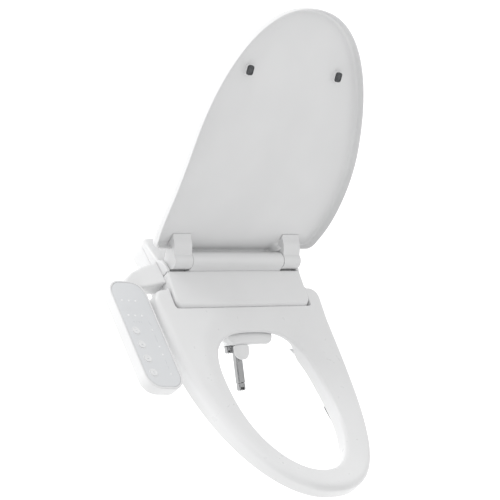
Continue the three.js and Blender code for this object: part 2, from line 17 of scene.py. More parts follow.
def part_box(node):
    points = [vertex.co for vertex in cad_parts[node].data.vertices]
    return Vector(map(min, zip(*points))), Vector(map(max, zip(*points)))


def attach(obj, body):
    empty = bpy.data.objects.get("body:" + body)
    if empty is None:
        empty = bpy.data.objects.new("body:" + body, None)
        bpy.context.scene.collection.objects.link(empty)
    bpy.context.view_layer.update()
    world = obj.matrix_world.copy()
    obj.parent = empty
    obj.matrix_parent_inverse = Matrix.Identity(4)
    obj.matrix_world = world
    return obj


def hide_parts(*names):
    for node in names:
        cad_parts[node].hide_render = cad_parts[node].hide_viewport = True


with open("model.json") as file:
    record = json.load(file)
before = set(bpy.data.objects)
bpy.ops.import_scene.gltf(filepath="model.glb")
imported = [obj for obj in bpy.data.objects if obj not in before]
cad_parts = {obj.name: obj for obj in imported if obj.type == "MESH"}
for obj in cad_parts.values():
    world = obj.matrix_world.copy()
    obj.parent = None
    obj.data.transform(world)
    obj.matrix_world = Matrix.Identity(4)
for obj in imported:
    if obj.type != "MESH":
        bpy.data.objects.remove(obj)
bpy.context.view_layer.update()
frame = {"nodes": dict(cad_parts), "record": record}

MM = 0.001


def box_mm(node):
    low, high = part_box(node)
    return low / MM, high / MM


# ---- sizes taken from the frame ----
RING_LOW, RING_HIGH = box_mm("seat_ring_top")
PLATE_LOW, PLATE_HIGH = box_mm("cover_plate")
BASE_LOW, BASE_HIGH = box_mm("base_housing")
REAR_LOW, REAR_HIGH = box_mm("top_cover")
RIDGE_LOW, RIDGE_HIGH = box_mm("hinge_ridge")
LUG_LOW, LUG_HIGH = box_mm("lid_lug_right")
GUARD_LOW, GUARD_HIGH = box_mm("wand_guard")
BRACKET_LOW, BRACKET_HIGH = box_mm("mounting_bracket")
JOINTS = {j["name"]: j for j in frame["record"]["behaviour"]["joints"]}
LID_HINGE = Vector(JOINTS["lid_hinge"]["pos_m"]) / MM
SEAT_HINGE = Vector(JOINTS["seat_hinge"]["pos_m"]) / MM
WAND_AXIS = -Vector(JOINTS["front_wand_slide"]["axis"]).normalized()  # points back into the unit

# ---- sizes that the boxes don't tell ----
RING_WIDEST_Y = -87
RING_LOW_Y = -245  # where the ring's side profile is lowest
RING_RISE = 17  # rise of that profile 200 mm away
RING_TOP = 41
RING_BOTTOM = 10
NOTCH_Y = -96.9
NOTCH_X = 154.5
HOLE = {"half_width": 107, "widest_y": -260, "tip_y": -410, "rear_y": -138}
LIP_OFFSET = -35.4  # lid rim below its hinge axis, in the lid's own frame
LID_OPEN = math.radians(122.4)
LID_WIDEST = 125
LID_TIP = 441
LID_REAR = 19
LID_TAB = 5  # between the lugs the lid reaches further down, behind the hinge cover
LID_HALF_WIDTH = RING_HIGH.x + 3.5
LID_DEPTH = 20
LID_INNER = 14
SPLIT_Z = BASE_HIGH.z
COVER_FRONT_Z = 54.3  # height of the sloping cover at its front edge
FLOOR_Z = -420
KEY_X, KEY_FIRST_Y, KEY_PITCH = -17.7, 5, 26.5  # in the pod's own frame
POD = {"x": -238, "y": -140, "width": 75, "length": 208, "yaw": math.radians(-4.4)}


# ---- outlines: arrays of points, counter-clockwise, moved inwards by an inset ----
def rounded_polygon(corners, inset=0.0, spacing=6.0, arc_steps=7):
    """Outline through corners (x, y, radius). Every inset gives the same number of points."""
    at = [Vector(c[:2]) for c in corners]
    count = len(at)
    arcs = []
    for i, (_, _, radius) in enumerate(corners):
        before = (at[i] - at[i - 1]).normalized()
        after = (at[(i + 1) % count] - at[i]).normalized()
        inward = Vector((-before.y, before.x)) + Vector((-after.y, after.x))
        corner = at[i] + inward * inset / max(inward.length_squared / 2, 0.05)
        turn = math.atan2(before.cross(after), before.dot(after))
        side = 1 if turn > 0 else -1
        reach = max(radius - side * inset, 0.15)
        start = corner - before * reach * math.tan(abs(turn) / 2)
        centre = start + Vector((-before.y, before.x)) * side * reach
        spoke = start - centre
        arc = []
        for k in range(arc_steps + 1):
            angle = turn * k / arc_steps
            c, s = math.cos(angle), math.sin(angle)
            arc.append(centre + Vector((spoke.x * c - spoke.y * s, spoke.x * s + spoke.y * c)))
        arcs.append(arc)
    points = []
    for i, arc in enumerate(arcs):
        following = arcs[(i + 1) % count][0]
        pieces = max(1, round((at[(i + 1) % count] - at[i]).length / spacing))
        points += arc
        points += [arc[-1].lerp(following, k / pieces) for k in range(1, pieces)]
    return np.array([p[:] for p in points])


def rectangle(x0, x1, y0, y1, radii):
    """Corners for rounded_polygon; radii are front left, front right, rear right, rear left."""
    places = [(x0, y0), (x1, y0), (x1, y1), (x0, y1)]
    return [(x, y, r) for (x, y), r in zip(places, radii)]


def swell(t, power):
    return np.maximum(0, 1 - np.abs(t) ** power) ** (1 / power)


def egg_front(half_width, widest_y, tip_y, power, steps):
    t = np.cos(np.linspace(0, math.pi / 2, steps, endpoint=False))
    return np.column_stack([half_width * swell(t, power), widest_y + (tip_y - widest_y) * t])


def with_mirror(side):
    """Closes the right half of an outline, which starts on the middle line, with its mirror image."""
    ends_on_middle = abs(side[-1][0]) < 1e-6
    other = side[1:-1] if ends_on_middle else side[1:]
    return np.vstack([side, other[::-1] * (-1, 1)])


def arc_points(centre, radius, start_deg, end_deg, steps):
    angles = np.radians(np.linspace(start_deg, end_deg, steps + 1))
    return np.column_stack([centre[0] + radius * np.cos(angles), centre[1] + radius * np.sin(angles)])


def line_points(a, b, steps):
    return np.linspace(a, b, steps + 1)[1:-1]


def ring_outline(inset):
    width, ear_y, tip_y = RING_HIGH.x, RING_HIGH.y, RING_LOW.y
    ear_radius, inner_radius, notch_radius = 20, 3, 7
    inner = max(inner_radius - inset, 0.2)
    reach = ear_radius - inset
    front = egg_front(width - inset, RING_WIDEST_Y, tip_y + inset, 2.25, 100)
    ear = arc_points((width - ear_radius, ear_y - ear_radius), reach, 0, 90, 12)
    ear_inside = arc_points((NOTCH_X + inset + inner, ear_y - inset - inner), inner, 90, 180, 4)
    notch = arc_points((NOTCH_X - notch_radius, NOTCH_Y + notch_radius), notch_radius + inset, 0, -90, 8)
    side = np.vstack(
        [
            front,
            [(width - inset, RING_WIDEST_Y)],
            ear,
            line_points(ear[-1], ear_inside[0], 3),
            ear_inside,
            line_points(ear_inside[-1], notch[0], 8),
            notch,
            line_points(notch[-1], (0, NOTCH_Y - inset), 40),
            [(0, NOTCH_Y - inset)],
        ]
    )
    return with_mirror(side)


def hole_outline(inset):
    """Inset moves it away from the hole's middle, into the ring."""
    half = HOLE["half_width"] + inset
    middle = HOLE["widest_y"]
    rear = HOLE["rear_y"] + inset
    front = egg_front(half, middle, HOLE["tip_y"] - inset, 2.1, 80)
    t = np.sin(np.linspace(0, math.pi / 2, 60))
    back = np.column_stack([half * swell(t, 3), middle + (rear - middle) * t])
    return with_mirror(np.vstack([front, back]))


def lid_outline(inset):
    """In the lid's own frame, seen closed: X, and -Y away from the hinge."""
    corner, run = 16, 172
    front = egg_front(LID_HALF_WIDTH - inset, -LID_WIDEST, -LID_TIP + inset, 2.2, 110)
    v = np.linspace(LID_WIDEST, LID_REAR + inset + corner, 24)
    x = LID_HALF_WIDTH - inset - LID_HALF_WIDTH * (1 - swell((LID_WIDEST - v) / run, 3))
    cheek = np.column_stack([x, -v])
    turn = arc_points((x[-1] - corner, -v[-1]), corner, 0, 90, 10)[1:]
    shoulder = line_points(turn[-1], (LUG_LOW.x + 4, turn[-1][1]), 5)
    tab_x, tab_y = LUG_LOW.x - 2 - inset, -LID_TAB - inset
    step = arc_points((LUG_LOW.x + 4, turn[-1][1] + 5), 5 + inset, -90, -165, 5)
    tab = arc_points((tab_x - 5 + inset, tab_y - 5 + inset), max(5 - inset, 0.3), 0, 90, 5)
    rear = line_points(tab[-1], (0, tab_y), 30)
    return with_mirror(np.vstack([front, cheek, turn, shoulder, step, tab, rear, [(0, tab_y)]]))


# ---- heights ----
def smoothstep(t):
    t = np.clip(t, 0, 1)
    return t * t * (3 - 2 * t)


def ring_rise(y):
    return RING_RISE * ((y - RING_LOW_Y) / 200) ** 2


def distance_to(points, outline):
    """Shortest distance from each point to a closed outline."""
    along = np.roll(outline, -1, 0) - outline
    length = (along**2).sum(1) + 1e-12
    found = np.empty(len(points))
    for start in range(0, len(points), 1500):
        part = points[start : start + 1500, None, :] - outline[None, :, :]
        share = np.clip((part * along).sum(2) / length, 0, 1)
        gap = part - share[:, :, None] * along
        found[start : start + 1500] = np.sqrt((gap**2).sum(2).min(1))
    return found


def nose_top(y):
    """Slope of the nose, from the split line down to its front edge."""
    front, start = 27, 2.8
    return SPLIT_Z + (front - SPLIT_Z) * (y - PLATE_LOW.y - start) / (BASE_LOW.y - PLATE_LOW.y - start)


def ring_top_height(xy):
    """Seat surface: it follows the side profile, dishes to the hole and falls off a little outside."""
    dish, dish_reach, fall, fall_reach = 7.0, 40.0, 1.8, 50.0
    sides = egg_front(RING_HIGH.x, RING_WIDEST_Y, RING_LOW.y, 2.25, 100)
    sides = with_mirror(np.vstack([sides, [(RING_HIGH.x, 100.0)]]))
    to_hole = distance_to(xy, hole_outline(0))
    to_side = distance_to(xy, sides)
    return (
        RING_TOP
        + ring_rise(xy[:, 1])
        - dish * (1 - smoothstep(to_hole / dish_reach))
        - fall * (1 - smoothstep(to_side / fall_reach))
    )


def ring_bottom_height(xy):
    """Underside: flat along the rim, raised over the nose of the seat unit."""
    half, side_blend = 118, 4
    front, front_blend = -186, 30
    clearance = 2.5
    flat = RING_BOTTOM + ring_rise(xy[:, 1])
    over = np.maximum(flat, nose_top(xy[:, 1]) + clearance)
    across_nose = 1 - smoothstep((np.abs(xy[:, 0]) - half + side_blend) / side_blend)
    behind_front = smoothstep((xy[:, 1] - front) / front_blend)
    return flat + (over - flat) * (across_nose * behind_front)


def lip_height(y):
    """Rim of the lid in its own frame, which rises towards the hinge and stays clear of its cover."""
    rise, flat_from, run = 59, 210, 235
    clear, well_below = 15.6, 40
    rim = LIP_OFFSET + rise * (np.maximum(0, flat_from + y) / run) ** 2
    return np.maximum(rim, np.sqrt(np.maximum(0, clear**2 - y**2)) - well_below * (y < -clear))


# ---- frames of the moving pieces ----
def in_part(points):
    return points


def in_lid(points):
    """From the lid's own frame, closed and with the hinge at the origin, to the part's frame."""
    c, s = math.cos(-LID_OPEN), math.sin(-LID_OPEN)
    x, y, z = points.T
    return np.column_stack([x, LID_HINGE.y + y * c - z * s, LID_HINGE.z + y * s + z * c])


def in_pod(points):
    """From the pod's own frame, centred on it, to the part's frame."""
    c, s = math.cos(POD["yaw"]), math.sin(POD["yaw"])
    x, y, z = points.T
    return np.column_stack([POD["x"] + x * c - y * s, POD["y"] + x * s + y * c, z])


# ---- meshes ----
def mesh_object(name, points, faces, place=in_part, sharp=38):
    """Mesh from millimetre points, welded, facing out and smooth up to the sharp angle."""
    mesh = bpy.data.meshes.new(name)
    metres = place(np.asarray(points, float)) * MM
    mesh.from_pydata([tuple(p) for p in metres], [], [tuple(int(i) for i in f) for f in faces])
    bm = bmesh.new()
    bm.from_mesh(mesh)
    bmesh.ops.remove_doubles(bm, verts=bm.verts, dist=5e-6)
    bmesh.ops.recalc_face_normals(bm, faces=bm.faces)
    for face in bm.faces:
        face.smooth = True
    bm.to_mesh(mesh)
    bm.free()
    mesh.set_sharp_from_angle(angle=math.radians(sharp))
    piece = bpy.data.objects.new(name, mesh)
    bpy.context.scene.collection.objects.link(piece)
    return piece


def inside(points, loops):
    """Which points lie in the region between closed loops, by counting crossings."""
    crossings = np.zeros(len(points), int)
    px, py = points[:, 0], points[:, 1]
    for loop in loops:
        for (x0, y0), (x1, y1) in zip(loop, np.roll(loop, -1, 0)):
            if y0 == y1:
                continue
            hit = (py > min(y0, y1)) & (py <= max(y0, y1))
            crossings += hit & (px < x0 + (py - y0) * (x1 - x0) / (y1 - y0))
    return crossings % 2 == 1


def fill(loops, spacing):
    """Triangles over the flat region between closed loops, with an even lattice inside."""
    row_share, edge_share = 0.866, 0.6  # of the spacing
    border = np.vstack(loops)
    low, high = border.min(0), border.max(0)
    rows = np.arange(low[1], high[1], spacing * row_share)
    columns = np.arange(low[0], high[0], spacing)
    lattice = np.array([(x + (k % 2) * spacing / 2, y) for k, y in enumerate(rows) for x in columns])
    lattice = lattice[inside(lattice, loops)]
    if len(lattice):
        gap = np.min([distance_to(lattice, loop) for loop in loops], axis=0)
        lattice = lattice[gap > spacing * edge_share]
    edges = []
    start = 0
    for loop in loops:
        edges += [(start + i, start + (i + 1) % len(loop)) for i in range(len(loop))]
        start += len(loop)
    points = [Vector(p) for p in np.vstack([border, lattice])]
    made = delaunay_2d_cdt(points, edges, [], 0, 1e-6)
    flat = np.array([p[:] for p in made[0]])
    faces = np.array([f for f in made[2] if len(f) == 3])
    return flat, faces[inside(flat[faces].mean(1), loops)]


def moulding(name, outlines, top, bottom, place=in_part, top_round=2.0, bottom_round=1.0, draft=0.0,
             top_steps=(), bottom_steps=(), spacing=6.0, quarter=7, adjust=None):
    """Closed moulded body between a top and a bottom height, with rounded edges.

    outlines are functions of an inset. The steps run on from the rounded edges as (inset, rise)
    pairs and shape rims, recesses and lips. top_round is a number, or a function of the outline.
    """
    points, faces, top_loops, bottom_loops = [], [], [], []
    offset = 0
    for outline in outlines:
        base = outline(0.0)
        inward = outline(1.0) - base
        radius = top_round(base) if callable(top_round) else np.full(len(base), float(top_round))
        bends = np.linspace(math.pi / 2, 0, quarter + 1)
        bottom_bends = bends[::-1][:: max(1, quarter // 4)]
        even = np.ones(len(base))
        levels = [(radius + step, "top", rise) for step, rise in reversed(top_steps)]
        levels += [(radius * (1 - math.cos(b)), "top", -radius * (1 - math.sin(b))) for b in bends]
        levels += [(draft * k / 4 * even, "side", k / 4) for k in range(1, 4)]
        levels += [
            ((draft + bottom_round * (1 - math.cos(b))) * even, "bottom", bottom_round * (1 - math.sin(b)))
            for b in bottom_bends
        ]
        levels += [((draft + bottom_round + step) * even, "bottom", rise) for step, rise in bottom_steps]
        side_top = top(base) - radius
        side_bottom = bottom(base) + bottom_round
        loops = []
        for inset, kind, rise in levels:
            xy = base + inward * inset[:, None]
            if kind == "top":
                z = top(xy) + rise
            elif kind == "bottom":
                z = bottom(xy) + rise
            else:
                z = side_top + (side_bottom - side_top) * rise
            loops.append(np.column_stack([xy, z]))
        count = len(base)
        for k in range(len(loops) - 1):
            for i in range(count):
                j = (i + 1) % count
                a, b = offset + k * count, offset + (k + 1) * count
                faces.append((a + i, a + j, b + j, b + i))
        offset += len(loops) * count
        points += loops
        top_loops.append(loops[0])
        bottom_loops.append(loops[-1])
    top_rise = top_steps[-1][1] if top_steps else 0
    bottom_rise = bottom_steps[-1][1] if bottom_steps else 0
    for loops, height, rise in ((top_loops, top, top_rise), (bottom_loops, bottom, bottom_rise)):
        flat, triangles = fill([loop[:, :2] for loop in loops], spacing)
        points.append(np.column_stack([flat, height(flat) + rise]))
        faces += [tuple(t + offset) for t in triangles]
        offset += len(flat)
    solid = np.vstack(points)
    if adjust:
        solid = adjust(solid)
    return mesh_object(name, solid, faces, place)


def level(z):
    return lambda xy: np.full(len(xy), float(z))


def polygon_outline(corners, spacing=6.0):
    return lambda inset: rounded_polygon(corners, inset, spacing)


def smooth_curve(points, steps=6):
    """Catmull-Rom curve through given points."""
    path = [Vector(p) for p in points]
    path = [path[0] * 2 - path[1], *path, path[-1] * 2 - path[-2]]
    made = []
    for a, b, c, d in zip(path, path[1:], path[2:], path[3:]):
        for k in range(steps):
            t = k / steps
            bend = (2 * a - 5 * b + 4 * c - d) * t * t
            twist = (3 * b - a - 3 * c + d) * t**3
            made.append(0.5 * (2 * b + (c - a) * t + bend + twist))
    made.append(path[-2])
    return [tuple(p) for p in made]


def across(name, profile, x0, x1, edge, place=in_part, segments=4):
    """Profile in Y and Z carried from x0 to x1, with its end edges rounded."""
    profile = np.asarray(profile, float)
    count = len(profile)
    stations = [x0, *np.linspace(x0 + edge + 1, x1 - edge - 1, 5), x1]
    points = [(x, y, z) for x in stations for y, z in profile]
    faces = []
    for k in range(len(stations) - 1):
        for i in range(count):
            j = (i + 1) % count
            faces.append((k * count + i, k * count + j, (k + 1) * count + j, (k + 1) * count + i))
    faces.append(tuple(range(count)))
    faces.append(tuple(range((len(stations) - 1) * count, len(stations) * count))[::-1])
    piece = mesh_object(name, points, faces, place, sharp=50)
    bevel = piece.modifiers.new("edge", "BEVEL")
    bevel.width = edge * MM
    bevel.segments = segments
    bevel.limit_method = "ANGLE"
    bevel.angle_limit = math.radians(40)
    bevel.harden_normals = False
    piece.modifiers.new("shade", "WEIGHTED_NORMAL").keep_sharp = True
    return piece


def turned(name, profile, start, axis, segments=48, sharp=38):
    """Solid of revolution: profile of (radius, distance along the axis) from start."""
    axis = Vector(axis).normalized()
    side = axis.orthogonal().normalized()
    other = axis.cross(side)
    start = Vector(start)
    points, faces = [], []
    for radius, along in profile:
        for k in range(segments):
            angle = 2 * math.pi * k / segments
            points.append(start + axis * along + (side * math.cos(angle) + other * math.sin(angle)) * radius)
    for row in range(len(profile) - 1):
        for k in range(segments):
            n = (k + 1) % segments
            a, b = row * segments, (row + 1) * segments
            faces.append((a + k, a + n, b + n, b + k))
    faces.append(tuple(range(segments)))
    faces.append(tuple(range((len(profile) - 1) * segments, len(profile) * segments))[::-1])
    return mesh_object(name, [p[:] for p in points], faces, sharp=sharp)


def carve(piece, cutter):
    """Cuts the cutter's solid out of a piece, and removes the cutter."""
    cut = piece.modifiers.new("cut", "BOOLEAN")
    cut.operation = "DIFFERENCE"
    cut.solver = "EXACT"
    cut.object = cutter
    bpy.context.view_layer.update()
    graph = bpy.context.evaluated_depsgraph_get()
    mesh = bpy.data.meshes.new_from_object(piece.evaluated_get(graph))
    piece.modifiers.clear()
    piece.data = mesh
    for polygon in mesh.polygons:
        polygon.use_smooth = True
    mesh.set_sharp_from_angle(angle=math.radians(30))
    bpy.data.objects.remove(cutter)


# ---- materials ----
def new_material(name, **sockets):
    material = bpy.data.materials.new(name)
    material.use_nodes = True
    shader = material.node_tree.nodes["Principled BSDF"]
    for socket, value in sockets.items():
        shader.inputs[socket.replace("_", " ")].default_value = value
    return material, material.node_tree, shader


def noise(tree, scale, detail=3.0, roughness=0.5):
    """Noise in the part's own coordinates; scale is in features per metre."""
    coordinates = tree.nodes.new("ShaderNodeTexCoord")
    texture = tree.nodes.new("ShaderNodeTexNoise")
    texture.inputs["Scale"].default_value = scale
    texture.inputs["Detail"].default_value = detail
    texture.inputs["Roughness"].default_value = roughness
    tree.links.new(coordinates.outputs["Object"], texture.inputs["Vector"])
    return texture.outputs["Fac"]


def between(tree, factor, low, high):
    """Maps a 0 to 1 factor to a range of values."""
    span = tree.nodes.new("ShaderNodeMapRange")
    span.inputs["From Min"].default_value = 0.3
    span.inputs["From Max"].default_value = 0.7
    span.inputs["To Min"].default_value = low
    span.inputs["To Max"].default_value = high
    tree.links.new(factor, span.inputs["Value"])
    return span.outputs["Result"]


def tint(tree, factor, low, high):
    """Blends two colours by a factor."""
    ramp = tree.nodes.new("ShaderNodeValToRGB")
    ramp.color_ramp.elements[0].position = 0.35
    ramp.color_ramp.elements[1].position = 0.65
    ramp.color_ramp.elements[0].color = (*low, 1)
    ramp.color_ramp.elements[1].color = (*high, 1)
    tree.links.new(factor, ramp.inputs["Fac"])
    return ramp.outputs["Color"]


def add_bump(tree, shader, height, strength, distance):
    bump = tree.nodes.new("ShaderNodeBump")
    bump.inputs["Strength"].default_value = strength
    bump.inputs["Distance"].default_value = distance
    tree.links.new(height, bump.inputs["Height"])
    tree.links.new(bump.outputs["Normal"], shader.inputs["Normal"])


def moulded_plastic(name, colour, roughness, grain=0.12, spread=0.012):
    """Gloss plastic: faint flow marks in its colour, uneven gloss and the fine grain of its mould."""
    material, tree, shader = new_material(name, IOR=1.49)
    low = [max(0, c - spread) for c in colour]
    high = [c + spread for c in colour]
    flow = noise(tree, 9, 2)
    tree.links.new(tint(tree, flow, low, high), shader.inputs["Base Color"])
    gloss = between(tree, noise(tree, 60, 4), roughness - 0.03, roughness + 0.05)
    tree.links.new(gloss, shader.inputs["Roughness"])
    add_bump(tree, shader, noise(tree, 2600, 2), grain, 0.00006)
    return material


def rubber(name, colour):
    material, tree, shader = new_material(name, Specular_IOR_Level=0.3)
    low = [c * 0.8 for c in colour]
    high = [c * 1.2 for c in colour]
    tree.links.new(tint(tree, noise(tree, 240, 4), low, high), shader.inputs["Base Color"])
    tree.links.new(between(tree, noise(tree, 500), 0.66, 0.85), shader.inputs["Roughness"])
    add_bump(tree, shader, noise(tree, 1800, 5, 0.7), 0.35, 0.00015)
    return material


def metal(name, colour, low, high, brushed):
    """Chrome when hardly brushed, turned steel when more so."""
    material, tree, shader = new_material(name, Metallic=1.0)
    dark = [c * 0.93 for c in colour]
    tree.links.new(tint(tree, noise(tree, 70, 3), dark, colour), shader.inputs["Base Color"])
    tree.links.new(between(tree, noise(tree, 160, 4), low, high), shader.inputs["Roughness"])
    add_bump(tree, shader, noise(tree, 3000, 2), brushed, 0.00003)
    return material


def board_laminate():
    material, tree, shader = new_material("circuit")
    green = tint(tree, noise(tree, 400, 1), (0.01, 0.09, 0.04), (0.02, 0.16, 0.07))
    tree.links.new(green, shader.inputs["Base Color"])
    tree.links.new(between(tree, noise(tree, 200), 0.35, 0.5), shader.inputs["Roughness"])
    return material


def film():
    """Satin printed film over the pod."""
    material, tree, shader = new_material("overlay_film", IOR=1.5)
    low, high = (0.590, 0.600, 0.612), (0.605, 0.615, 0.627)
    tree.links.new(tint(tree, noise(tree, 14, 2), low, high), shader.inputs["Base Color"])
    tree.links.new(between(tree, noise(tree, 90, 4), 0.34, 0.42), shader.inputs["Roughness"])
    add_bump(tree, shader, noise(tree, 5200, 2), 0.15, 0.00004)
    return material


SHELL = moulded_plastic("white_shell", (0.655, 0.657, 0.660), 0.33)
LID = moulded_plastic("white_lid", (0.655, 0.657, 0.660), 0.34)
SEAT = moulded_plastic("white_seat", (0.660, 0.662, 0.665), 0.30)
KEY = moulded_plastic("key_plastic", (0.67, 0.675, 0.68), 0.38)
MARK = moulded_plastic("printed_mark", (0.46, 0.48, 0.50), 0.45, 0.05)
LAMP = moulded_plastic("lamp_lens", (0.74, 0.745, 0.75), 0.18, 0.03, 0.02)
INNER = moulded_plastic("inner_plastic", (0.045, 0.050, 0.055), 0.45, 0.3, 0.01)
OVERLAY = film()
RUBBER = rubber("grey_rubber", (0.085, 0.088, 0.092))
CHROME = metal("chrome", (0.36, 0.363, 0.367), 0.04, 0.09, 0.02)
STEEL = metal("steel", (0.55, 0.56, 0.57), 0.25, 0.4, 0.3)
CIRCUIT = board_laminate()
# Near-black plastic for the wand's holes: painted shade, standing in for the dark inside of holes that are
# not cut
PAINTED_HOLE_SHADE = moulded_plastic("spray_hole_painted_shade", (0.012, 0.012, 0.013), 0.5, 0.1, 0.004)


def dress(piece, material, body, slot, *nodes):
    """Gives a piece its material, its body and the CAD nodes that it stands for; the slot argument is not
    used.
    """
    piece.data.materials.clear()
    piece.data.materials.append(material)
    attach(piece, body)
    if nodes:
        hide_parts(*nodes)
    return piece


# ---- seat ring ----
def clear_of_cover(points):
    """Hollows the ring's notch edge about the seat hinge, so that the ring lifts past the cover."""
    sweep = 26.3
    lift = points[:, 2] - SEAT_HINGE.z
    reach = np.sqrt(np.maximum(0, sweep**2 - lift**2))
    edge = np.abs(points[:, 0]) < NOTCH_X - 0.5
    near = edge & (np.hypot(points[:, 1] - SEAT_HINGE.y, lift) < sweep) & (points[:, 1] > NOTCH_Y - 8)
    points[near, 1] = SEAT_HINGE.y - reach[near]
    return points


def ring_edge_radius(base):
    """Soft outer edge, tight edge round the notch, and an edge that the thin rear bridge can hold."""
    outer, ear, notch, hole_edge = 13.0, 7.0, 2.2, 7.0
    x, y = np.abs(base[:, 0]), base[:, 1]
    if y.max() < NOTCH_Y - 20:
        thickness = ring_top_height(base) - ring_bottom_height(base)
        return np.minimum(hole_edge, thickness * 0.62)
    radius = outer + (ear - outer) * smoothstep((y + 130) / 60)
    in_notch = (x < NOTCH_X + 6) & (y > NOTCH_Y - 1)
    return np.where(in_notch, notch, radius)


def build_ring():
    ring = moulding(
        "seat_ring_shell",
        [ring_outline, hole_outline],
        ring_top_height,
        ring_bottom_height,
        top_round=ring_edge_radius,
        bottom_round=1.6,
        bottom_steps=((2.6, 0.0), (2.8, 3.6)),
        spacing=5,
        quarter=9,
        adjust=clear_of_cover,
    )
    dress(ring, SEAT, "seat_ring", "white_seat", "seat_ring_top")


def build_seat_bumpers():
    """Rubber pads under the ring, each with a stepped sole."""
    for end in ("front", "rear"):
        for side in ("left", "right"):
            node = f"seat_bumper_{end}_{side}"
            low, high = box_mm(node)
            corners = rectangle(low.x, high.x, low.y, high.y, (7, 7, 7, 7))
            pad = moulding(
                f"seat_pad_{end}_{side}",
                [polygon_outline(corners, 3)],
                level(high.z),
                level(low.z),
                top_round=0.6,
                bottom_round=1.2,
                bottom_steps=((1.8, 0.0), (2.2, 0.9)),
                spacing=3,
            )
            dress(pad, RUBBER, "seat_ring", "rubber", node)


# ---- lid ----
def build_lid():
    crown, crown_reach, shoulder = 2.2, 70.0, 11.0
    border = lid_outline(0)

    def outside(xy):
        to_border = distance_to(xy, border)
        return lip_height(xy[:, 1]) + LID_DEPTH - crown * (1 - smoothstep(to_border / crown_reach))

    def rim(xy):
        return lip_height(xy[:, 1])

    fillet = 6.0
    wall = 2.2
    bends = np.linspace(0, math.pi / 2, 9)
    dish = [(0.9, 0.0), (1.2, 0.25), (1.35, 0.9), (wall, LID_INNER - fillet - 2)]
    dish += [
        (wall + 0.4 + fillet * (1 - math.cos(b)), LID_INNER - fillet * (1 - math.sin(b)))
        for b in bends
    ]
    lid = moulding(
        "lid_cover",
        [lid_outline],
        outside,
        rim,
        in_lid,
        top_round=shoulder,
        bottom_round=0.7,
        bottom_steps=dish,
        spacing=7,
        quarter=9,
    )
    dress(lid, LID, "lid", "white_lid", "lid_shell")


def lug_profile(radius):
    """Barrel round the hinge pin, and an arm that runs out flush with the lid's inner panel."""
    barrel = [
        (radius * math.cos(a), radius * math.sin(a))
        for a in np.radians(np.linspace(-28, -268, 30))
    ]

    def panel(v):
        return float(lip_height(np.array(-v))) + LID_INNER - 0.4

    back = [(v, panel(v)) for v in (23, 30, 37, 44)]
    front = smooth_curve([(44, panel(44) - 0.8), (38, panel(38) - 4.5), (30, -0.6), (20, -4.6)], 5)
    outline = [*barrel, (12, 14.0), *back, *front]
    return [(-v, w) for v, w in outline]


def build_lugs():
    for name, side in (("left", -1), ("right", 1)):
        x0, x1 = sorted((side * LUG_LOW.x, side * LUG_HIGH.x))
        lug = across(f"lid_arm_{name}", lug_profile(14.0), x0, x1, 3.0, in_lid)
        dress(lug, LID, "lid", "white_lid", f"lid_lug_{name}")


def build_lid_bumpers():
    """Grey pads on white pedestals inside the lid."""
    away, half_x, half_y = 331, 6, 8
    foot = 2.5  # how far the pedestal stands out round the pad
    for name, side in (("left", -1), ("right", 1)):
        x = side * 101
        pad_corners = rectangle(x - half_x, x + half_x, -away - half_y, -away + half_y, (4,) * 4)
        reach_x, reach_y = half_x + foot, half_y + foot
        foot_corners = rectangle(x - reach_x, x + reach_x, -away - reach_y, -away + reach_y, (6,) * 4)
        pedestal = moulding(
            f"bumper_pedestal_{name}",
            [polygon_outline(foot_corners, 3)],
            level(LIP_OFFSET + LID_INNER + 0.5),
            level(LIP_OFFSET + LID_INNER - 3.4),
            in_lid,
            top_round=0.2,
            bottom_round=1.6,
            draft=1.0,
            spacing=3,
        )
        dress(pedestal, LID, "lid", "white_lid")
        pad = moulding(
            f"bumper_pad_{name}",
            [polygon_outline(pad_corners, 2)],
            level(LIP_OFFSET + LID_INNER - 3.2),
            level(LIP_OFFSET + 6.2),
            in_lid,
            top_round=0.2,
            bottom_round=1.5,
            bottom_steps=((0.6, 0.0), (1.0, 0.8)),
            spacing=2,
        )
        dress(pad, RUBBER, "lid", "rubber", f"lid_bumper_{name}")


# ---- seat unit ----
def cover_height(xy):
    """Sloping plate, slightly crowned from side to side."""
    slope = (PLATE_HIGH.z - 0.3 - 54.0) / (PLATE_HIGH.y - PLATE_LOW.y)
    crown = 0.9 * (xy[:, 0] / PLATE_HIGH.x) ** 2
    return COVER_FRONT_Z + slope * (xy[:, 1] - PLATE_LOW.y) - crown


def build_cover():
    """Front cover with its skirts, in the ring's notch."""
    corners = rectangle(PLATE_LOW.x, PLATE_HIGH.x, PLATE_LOW.y, PLATE_HIGH.y, (13, 13, 3, 3))
    edge_radius, sweep = 3.6, 25.7
    bow_from, bow_run = -84, 10

    def edge(base):
        return np.where(base[:, 1] > PLATE_HIGH.y - 2, 0.8, edge_radius)

    def follow_sweep(points):
        """Bows the front skirt about the seat hinge, close behind the ring's notch."""
        lift = np.clip(points[:, 2] - SEAT_HINGE.z, 0, COVER_FRONT_Z - edge_radius - SEAT_HINGE.z)
        shift = SEAT_HINGE.y - np.sqrt(sweep**2 - lift**2) - PLATE_LOW.y
        fade = np.clip((COVER_FRONT_Z - points[:, 2]) / edge_radius, 0, 1)
        share = smoothstep((bow_from - points[:, 1]) / bow_run)
        points[:, 1] += shift * fade * share
        return points

    cover = moulding(
        "front_cover",
        [polygon_outline(corners, 5)],
        cover_height,
        level(SPLIT_Z + 0.4),
        top_round=edge,
        bottom_round=0.6,
        spacing=7,
        adjust=follow_sweep,
    )
    cut_wand_paths(cover, 8.4, 128)
    dress(cover, SHELL, "seat_unit", "white_shell", "cover_plate")


